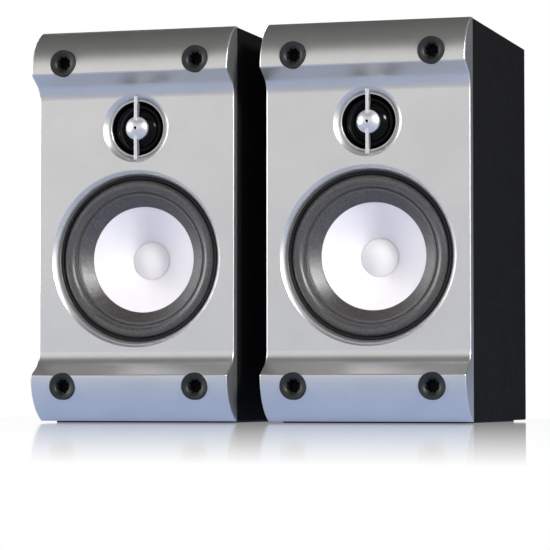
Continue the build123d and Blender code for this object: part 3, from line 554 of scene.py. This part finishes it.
# ---- woofer ---------------------------------------------------------------------------------
def trim_ring():
    outline = [(RING_R, RING_BACK, 0.1), (RING_R, -0.8, 0.4), (RING_R + 0.4, -1.0), (RING_OUT_R - 0.3, -1.0),
               (RING_OUT_R, -0.7), (RING_OUT_R, RING_BACK, 0.1)]
    return lathe(soft(outline), z=WOOFER_Z, count=240)


def surround():
    """Clamped lip, half roll, a shallow groove, a small bead and the wide inner lip."""
    roll_out, roll_in = (ROLL_OUT_R, 1.36), (ROLL_IN_R + 0.3, 1.55)
    front = [(49.6, 1.32), (48.3, 1.32), roll_out] + bow(roll_out, roll_in, ROLL_SAG, 26) + [roll_in]
    front += [(40.5, 2.0), (40.3, 2.25), (40.05, 2.3), (39.85, 2.15), (39.6, 1.95), (39.35, 1.97)]
    front += [(39.1, 2.25), (38.8, 2.72)]
    front += [(r, grey_y(r)) for r in (38.5, 38.0, 36.5, 35.0, 33.5, 32.5)]
    front += [(GREY_IN_R + 0.15, grey_y(GREY_IN_R + 0.15) + 0.02), (GREY_IN_R, grey_y(GREY_IN_R) + 0.15)]
    back = [(r, grey_y(r) + SURROUND_THICK) for r in (GREY_IN_R, 33.5, 36.0, 38.4)]
    back += [(39.4, 2.8), (40.1, 2.8), (40.6, 2.55)]
    back += bow((41.0, 2.1), (47.7, 1.86), 0.15 - ROLL_SAG, 26) + [(47.8, 1.84), (49.6, 1.84)]
    return lathe(front + back, z=WOOFER_Z, count=240)


def axis_distance(point, z):
    """Distance from the axis of the driver whose middle is at height z."""
    return sqrt(point.x ** 2 + (point.z - z) ** 2)


def roll_weight(point):
    """0 outside the roll, 1 inside it, smooth between."""
    start, end = ROLL_OUT_R - 0.1, ROLL_IN_R + 0.2
    t = min(max((start - axis_distance(point, WOOFER_Z)) / (start - end), 0.0), 1.0)
    return t * t * (3 - 2 * t)


def cone():
    steps = 24
    radii = [CONE_R + (CONE_NECK_R - CONE_R) * k / steps for k in range(steps + 1)]
    front = [(r, grey_y(r) + CONE_GAP) for r in radii]
    back = [(r, y + CONE_THICK) for r, y in reversed(front)]
    return lathe(front + back, z=WOOFER_Z, count=240)


def dust_cap():
    base = grey_y(CAP_R) + 0.1
    front = cap(base - CAP_H, CAP_R, base, 20)
    back = [(r, y + 0.6) for r, y in reversed(cap(base - CAP_H, CAP_R - 0.5, base, 20))]
    return lathe(front + [(CAP_R, base + 0.4)] + back, z=WOOFER_Z)


def glue_bead():
    """The bead of glue round the dust cap."""
    steps, wide, high = 16, 0.42, 0.4
    y = grey_y(CAP_R + 0.4) + wide
    turns = [2 * pi * k / steps for k in range(steps)]
    bead = [(CAP_R + 0.2 + wide * cos(a), y + high * sin(a)) for a in turns]

    def uneven(a, r, y):
        return r + 0.05 * sin(7 * a + 1) + 0.04 * sin(13 * a), y

    return lathe(bead, z=WOOFER_Z, count=200, wave=uneven)


def spider():
    """A corrugated disc with a flat rim."""
    steps, reach = 48, SPIDER_FLAT_R - SPIDER_IN_R
    front = []
    for k in range(steps + 1):
        along = k / steps
        wave = WAVE_H * sin(2 * pi * SPIDER_WAVES * along)
        front.append((SPIDER_IN_R + reach * along, SPIDER_Y + wave - SPIDER_THICK / 2))
    front.append((SPIDER_R, SPIDER_Y - SPIDER_THICK / 2))
    back = [(r, y + SPIDER_THICK) for r, y in reversed(front)]
    return lathe(front + back, z=WOOFER_Z, count=120)


def spider_weight(point):
    """0 at the flat rim, 1 at the coil."""
    share = (SPIDER_FLAT_R - axis_distance(point, WOOFER_Z)) / (SPIDER_FLAT_R - SPIDER_IN_R)
    return min(max(share, 0.0), 1.0)


# ---- tweeter --------------------------------------------------------------------------------
def tweeter_housing():
    """A ring round the dome whose collar fills the opening up to its bright lip."""
    rim, end, bore_r, back_r = TW_ROLL_R + 0.15, 4.9, 13.0, 17.6
    outline = [(bore_r, end, 0.1), (bore_r, 1.3, 0.1), (rim, 1.3, 0.1), (rim, 0.1, 0.1),
               (rim + 0.3, -0.5, 0.4),
               (COLLAR_R - 0.35, COLLAR_FRONT + 0.2, 0.4), (COLLAR_R, COLLAR_FRONT, 0.15),
               (COLLAR_R, FLANGE_FRONT, 0.1), (FLANGE_R, FLANGE_FRONT), (FLANGE_R, FLANGE_BACK),
               (back_r, FLANGE_BACK, 0.1), (back_r, end, 0.1)]
    return lathe(soft(outline), z=TWEETER_Z)


def tweeter_dome():
    """Dome, a narrow seam, a roll with a straight inner slope, and former, in one film."""
    base, behind = DOME_BASE_Y, DOME_BASE_Y + FILM_THICK
    front = cap(base - DOME_H, DOME_R, base, 26)
    front += soft([(DOME_R + 0.2, base), (DOME_R + 0.5, base, 0.4), (12.9, base - 1.6, 0.8),
                   (14.2, base - 1.3, 1.2), (TW_ROLL_R, base)], closed=False)
    front += [(TW_ROLL_R, behind)]
    back = [(FORMER_OUT_R, behind), (FORMER_OUT_R, FORMER_END)]
    back += [(FORMER_IN_R, FORMER_END), (FORMER_IN_R, behind)]
    back += [(r, y + FILM_THICK) for r, y in reversed(cap(base - DOME_H, FORMER_IN_R, base, 16))]
    return lathe(front + back, z=TWEETER_Z)


def bullet():
    """Domed button with a turned edge and a deep small hole in its middle."""
    r, bore, back, floor = BULLET_R, BULLET_BORE_R, BULLET_BACK, -4.05
    dome = cap(BULLET_FRONT, r - 0.45, -4.85, 22)
    outline = [(0, floor), (bore, floor), (bore, -7.3), (bore + 0.1, -7.5)] + [p for p in dome if p[0] > 1.1]
    outline += [(r - 0.35, -4.75), (r - 0.2, -4.72), (r - 0.05, -4.55), (r, -4.3)]
    outline += [(r, back - 0.2), (r - 0.1, back), (6.2, back)]
    outline += list(reversed(cap(-3.5, 6.0, back, 10)))
    return lathe(outline, z=TWEETER_Z, count=128)


# faces inside the bullet's small hole, which get painted shade
def bullet_hole_painted_shade(point):
    return point.y < -3.9 and axis_distance(point, TWEETER_Z) < BULLET_BORE_R + 0.02


def plug_bar(way):
    """Half of the upright bar across the recess. way is 1 for the upper half and -1 for the lower."""
    outline = [(-7.0, BAR_NEAR), (-7.0, BAR_FAR), (-5.5, BAR_FAR), (-3.3, 17.0), (-3.3, 15.7), (-2.0, 15.2),
               (-2.0, 13.0), (-2.9, 7.1), (-4.2, BAR_NEAR)]
    return prism([(y, TWEETER_Z + way * z) for y, z in outline], -BAR_W / 2, BAR_W / 2)


# ---- port and base pad ----------------------------------------------------------------------
def port():
    """A straight tube that flares out to a rolled lip on the back board."""
    lip, r, neck = SEAT_Y, PORT_R, CAB_D - PORT_FLARE
    start, outer = lip - PORT_LENGTH, r + PORT_WALL
    outline = [(r, start), (r, neck)] + bow((r, neck), (r + 4.5, lip), 1.2, 12)
    outline += [(r + 4.7, lip), (r + 7.6, lip), (r + 7.9, lip - 0.2), (r + 8.0, lip - 0.5),
                (r + 8.0, CAB_D), (r + 6.0, CAB_D), (outer, neck), (outer, start)]
    return lathe(outline, z=PORT_Z, count=160)


def base_pad():
    """A thin sheet with rounded corners and a soft lower edge."""
    half_w, front, back, edge = CAB_W / 2 - PAD_INSET, PAD_INSET, CAB_D - PAD_INSET, 0.25
    plan = soft([(-half_w, front), (half_w, front), (half_w, back), (-half_w, back)], PAD_CORNER)
    n, levels = len(plan), ((0.0, 0.0), (PAD_H - edge, 0.0), (PAD_H, edge))
    centre = (front + back) / 2
    verts = [(x * (1 - inset / half_w), centre + (y - centre) * (1 - inset / centre), -drop)
             for drop, inset in levels for x, y in plan]
    faces = [tuple(range(n)), tuple(range(2 * n, 3 * n))]
    faces += [(n * level + k, n * level + (k + 1) % n, n * level + n + (k + 1) % n, n * level + n + k)
              for level in range(2) for k in range(n)]
    return verts, faces


# ---- terminals, jacks, knobs ----------------------------------------------------------------
def lever(side, way):
    """Rounded tab of a spring clip, a grip rib at its free end and its two short pins."""
    x, y, z = CUP_PLACE[side]
    half, rib_half, steps = LEVER_W / 2, LEVER_W / 2 - 1.5, 24
    tab = soft([(-7.6, 13.6), (-4.4, 13.6), (-1.2, 4.0), (0.6, -3.0), (-1.6, -4.0), (-5.0, 8.0),
                (-7.6, 10.4)], 0.5)
    rib = soft([(-0.9, 0.2), (0.35, -0.6), (0.0, -1.5), (-1.2, -1.2)])
    turns = [2 * pi * k / steps for k in range(steps)]
    pins = [(PIVOT_Y + cos(a), PIVOT_Z + sin(a)) for a in turns]
    parts = (tab, half), (rib, rib_half), (pins, half + PIVOT_REACH)
    return [moved(prism(outline, -reach, reach), x + way * CLIP_X, y, z) for outline, reach in parts]


def jack_turned(x, outline, radius):
    """A (r, y) outline with soft edges turned about a jack's axis, y from its seat."""
    outline = [(r, SEAT_Y + y, *own) for r, y, *own in outline]
    return lathe(soft(outline, radius, steps=3), x=x, z=JACK_Z, count=64)


def jack_barrel(x):
    bore, start = 3.3, 1.02
    return jack_turned(x, [(bore, start), (BARREL_R, start), (BARREL_R, JACK_OUT), (bore, JACK_OUT)], 0.2)


def jack_insulator(x):
    """The coloured collar behind the barrel and the core inside it."""
    bore, core, collar, end = 1.6, 2.9, 5.4, JACK_OUT - 1.0
    outline = [(bore, -1.9), (collar, -2.4), (collar, 1.0), (core, 1.0, 0), (core, end), (bore, end)]
    return jack_turned(x, outline, 0.25)


def jack_block(x):
    half = JACK_BLOCK / 2
    return block(x - half, x + half, SEAT_Y - 15, SEAT_Y - 1.55, JACK_Z - half, JACK_Z + half)


def inlet_pin(x):
    start, end = SEAT_Y - 10.9, SEAT_Y - 0.9
    outline = soft([(0, start), (INLET_PIN_R, start), (INLET_PIN_R, end), (0, end)], 0.4)
    return lathe(outline, x=x, z=INLET_Z, count=32)


def knob_scale(x, r):
    """Printed ticks round a knob, over the whole of its turn."""
    shapes, inner, outer, half, film = [], r + 2.2, r + 4.0, 0.22, 0.05
    for k in range(TICKS):
        a = radians(90 + KNOB_TURN - 2 * KNOB_TURN * k / (TICKS - 1))
        out, across = Vector((cos(a), sin(a))), Vector((-sin(a), cos(a)))
        corners = [out * d + across * w
                   for d, w in ((inner, -half), (outer, -half), (outer, half), (inner, half))]
        verts = [(x + c.x, y, KNOB_Z + c.y) for y in (SEAT_Y, SEAT_Y + film) for c in corners]
        sides = [(i, (i + 1) % 4, 4 + (i + 1) % 4, 4 + i) for i in range(4)]
        shapes.append((verts, [(0, 1, 2, 3), (4, 5, 6, 7)] + sides))
    return shapes


def knob_pointer(x, r):
    end, half = CAB_D + KNOB_OUT, 0.36
    return block(x - half, x + half, end - 0.45, end - 0.1, KNOB_Z + 1.6, KNOB_Z + r - 1.2)


# ---- pieces ---------------------------------------------------------------------------------
def add(side, name, body, shapes, material, slot, *nodes, **more):
    """A piece of one speaker. Its name and those of the nodes it replaces start with the side."""
    piece(f"{side}_{name}", side, body, shapes, material, slot, [f"{side}_{node}" for node in nodes], **more)


for side in SIDES:
    cabinet, woofer, tweeter = f"{side}_cabinet", f"{side}_woofer", f"{side}_tweeter"
    cups = [socket_cup(way * SOCKET_X, z) for way in (-1, 1) for z in (SOCKET_END, CAB_H - SOCKET_END)]
    add(side, "wrapped_sleeve", cabinet, [sleeve()], VINYL, "wrap", "cabinet_sleeve", bevel=0.9)
    # the cups' bores and the outer edges of their rims are painted near-black as shade
    add(side, "socket_cups", cabinet, cups, RUBBER, "socket_rubber", "grille_sockets",
        crease=50, second=(HOLE_SHADE, cup_painted_shade))
    add(side, "trim_ring", cabinet, [trim_ring()], TRIM_BLACK, "trim_black", "woofer_trim_ring")
    add(side, "surround", (cabinet, woofer, roll_weight), [surround()], FOAM, "surround_rubber",
        "woofer_surround", crease=60)
    add(side, "cone", woofer, [cone()], CONE_WHITE, "cone", "woofer_cone")
    add(side, "dust_cap", woofer, [dust_cap()], CAP_WHITE, "cap", "woofer_dust_cap")
    add(side, "glue_bead", woofer, [glue_bead()], GLUE, "cap")
    add(side, "spider", (cabinet, woofer, spider_weight), [spider()], SLOT_LOOK["spider_cloth"],
        "spider_cloth", "woofer_spider")
    add(side, "tweeter_ring", cabinet, [tweeter_housing()], GLOSS_BLACK, "trim_black", "tweeter_housing")
    add(side, "tweeter_film", tweeter, [tweeter_dome()], FILM, "dome", "tweeter_dome")
    # the small hole in the bullet is painted near-black as shade
    add(side, "plug", cabinet, [bullet(), plug_bar(1), plug_bar(-1)], SLOT_LOOK["bright"], "bright",
        "phase_plug", bevel=0.18, second=(HOLE_SHADE, bullet_hole_painted_shade))
    add(side, "flared_port", cabinet, [port()], BLACK_PLASTIC, "black_plastic", "port_tube")
    add(side, "foam_pad", cabinet, [base_pad()], SLOT_LOOK["foot"], "foot", "base_pad")
    for colour, way in (("red", 1), ("black", -1)):
        slot = f"{colour}_plastic"
        add(side, f"clip_{colour}", f"{side}_lever_{colour}", lever(side, way), SLOT_LOOK[slot], slot,
            f"terminal_lever_{colour}", bevel=0.35)

host, xs = "right_cabinet", [x for _, x in JACKS]
for name, x, r in KNOBS:
    add("right", f"{name}_scale", host, knob_scale(x, r), PRINT, "bright")
    add("right", f"{name}_pointer", name, [knob_pointer(x, r)], PRINT, "bright")
for (colour, x), look, slot in zip(JACKS, (SLOT_LOOK["red_plastic"], PRINT), ("red_plastic", "bright")):
    add("right", f"jack_{colour}", host, [jack_insulator(x)], look, slot, "rca_jacks")
add("right", "jack_barrels", host, [jack_barrel(x) for x in xs], NICKEL, "jack", "rca_jacks")
add("right", "jack_blocks", host, [jack_block(x) for x in xs], BLACK_PLASTIC, "black_plastic", "rca_jacks")
add("right", "inlet_pins", host, [inlet_pin(INLET_X + way * INLET_PIN_X) for way in (-1, 1)], NICKEL, "jack")


# ---- studio ---------------------------------------------------------------------------------
LEAST_GLOW = 0.022
# the mirror image's share of the floor falls from its most at the speakers' feet to nothing in front
MIRROR_SHARE, FADE_START, FADE_LENGTH, FADE_REACH = 0.78, 1.61, 0.952, 1.634
FLOOR_HALF, AIM = 6.0, Vector((0.0, 0.0, 0.12))


def studio_world():
    """White for the camera. For everything else: bright in front and near the horizon, dark overhead."""
    world = bpy.data.worlds.new("studio")
    world.use_nodes = True
    world.node_tree.nodes.clear()
    graph = Graph(world.node_tree)
    x, y, z = graph.axes("Generated")
    front = graph.maths("MULTIPLY", graph.ramp(y, -0.55, 0.1, 1.0, 0.0), graph.ramp(z, 0.5, 0.74, 0.95, 0.0))
    horizon = graph.maths("MULTIPLY", graph.ramp(z, 0.12, 0.34, 1.2, 0.0),
                          graph.ramp(x, -0.18, 0.0, 1.0, 0.0))
    glow = graph.maths("ADD", graph.maths("MAXIMUM", front, horizon), LEAST_GLOW)
    studio, white = graph.node("ShaderNodeBackground"), graph.node("ShaderNodeBackground")
    graph.link(glow, studio.inputs["Strength"])
    white.inputs["Color"].default_value = (1, 1, 1, 1)
    out = graph.node("ShaderNodeOutputWorld")
    graph.link(graph.by_ray(studio.outputs[0], white.outputs[0]), out.inputs["Surface"])
    scene.world = world


def studio_floor():
    """A pale glossy floor. Its mirror image fades towards the front; the speakers see it blue near
    them and greyer further out."""
    mesh = bpy.data.meshes.new("floor")
    corners = [(x * FLOOR_HALF, y * FLOOR_HALF, 0) for x, y in ((-1, -1), (1, -1), (1, 1), (-1, 1))]
    mesh.from_pydata(corners, [], [(0, 1, 2, 3)])
    floor = bpy.data.objects.new("floor", mesh)
    scene.collection.objects.link(floor)
    material = bpy.data.materials.new("floor_gloss")
    material.use_nodes = True
    material.node_tree.nodes.clear()
    graph = Graph(material.node_tree)
    maths = graph.maths
    y = graph.axes("Object")["Y"]

    def mixed(factor, first, second):
        made = graph.node("ShaderNodeMixShader")
        for socket, source in zip(made.inputs, (factor, first, second)):
            graph.link(source, socket)
        return made.outputs[0]

    def lit(colour, glow):
        """A matt surface of one colour with a glow of another."""
        matt, light = graph.node("ShaderNodeBsdfDiffuse"), graph.node("ShaderNodeEmission")
        both = graph.node("ShaderNodeAddShader")
        matt.inputs["Color"].default_value = (*colour, 1)
        light.inputs["Color"].default_value = (*glow, 1)
        graph.link(matt.outputs[0], both.inputs[0])
        graph.link(light.outputs[0], both.inputs[1])
        return both.outputs[0]

    near = maths("DIVIDE", FADE_LENGTH, maths("MAXIMUM", maths("ADD", y, FADE_REACH), 0.05))
    fade = maths("MAXIMUM", maths("MINIMUM", maths("SUBTRACT", FADE_START, near), 1.0), 0.0)
    behind = graph.ramp(y, 0.1, 0.5, 1.0, 0.0, kind="LINEAR")
    share = maths("MULTIPLY", maths("MULTIPLY", fade, behind), MIRROR_SHARE)
    mirror = graph.node("ShaderNodeBsdfGlossy")
    socket_set(mirror, Color=(1, 1, 1, 1), Roughness=0.05)
    seen = mixed(share, lit((0.0, 0.0, 0.0), (1.0, 1.0, 1.0)), mirror.outputs[0])
    reflected = mixed(graph.ramp(y, -0.55, -0.15, kind="LINEAR"), lit((0.2, 0.22, 0.27), (0.3, 0.3, 0.35)),
                      lit((0.19, 0.245, 0.36), (0.28, 0.33, 0.48)))
    out = graph.node("ShaderNodeOutputMaterial")
    graph.link(graph.by_ray(reflected, seen), out.inputs["Surface"])
    mesh.materials.append(material)


def softbox(name, place, size, power):
    """A square light that faces the speakers."""
    data = bpy.data.lights.new(name, "AREA")
    data.shape, data.size, data.energy = "SQUARE", size, power
    light = bpy.data.objects.new(name, data)
    light.location = place
    light.rotation_euler = (AIM - Vector(place)).to_track_quat("-Z", "Y").to_euler()
    scene.collection.objects.link(light)


studio_world()
studio_floor()
softbox("key_front_right", (1.25, -0.9, 0.78), 0.3, 18.5)
softbox("fill_left", (-1.6, -0.6, 0.5), 0.9, 17.0)
softbox("panel_right", (1.7, -0.3, 0.35), 0.6, 3.0)
softbox("high_right", (0.85, 0.5, 1.25), 0.7, 0.6)
softbox("rear_left", (-1.0, 1.7, 0.8), 1.0, 22.0)

CAMERA_FROM_RIGHT = Vector((404.7, -1558.7, 14.15))
CAMERA_TURN, CAMERA_TILT, FOCAL = 16.546, 2.559, 179.3
camera_data = bpy.data.cameras.new("camera")
camera_data.lens, camera_data.sensor_width = FOCAL, 36.0
camera = bpy.data.objects.new("camera", camera_data)
camera.location = ORIGIN["right"] + CAMERA_FROM_RIGHT * MM
camera.rotation_euler = (radians(90 + CAMERA_TILT), 0, radians(CAMERA_TURN))
scene.collection.objects.link(camera)
scene.camera = camera
scene.view_settings.view_transform = "Standard"

bpy.context.view_layer.update()
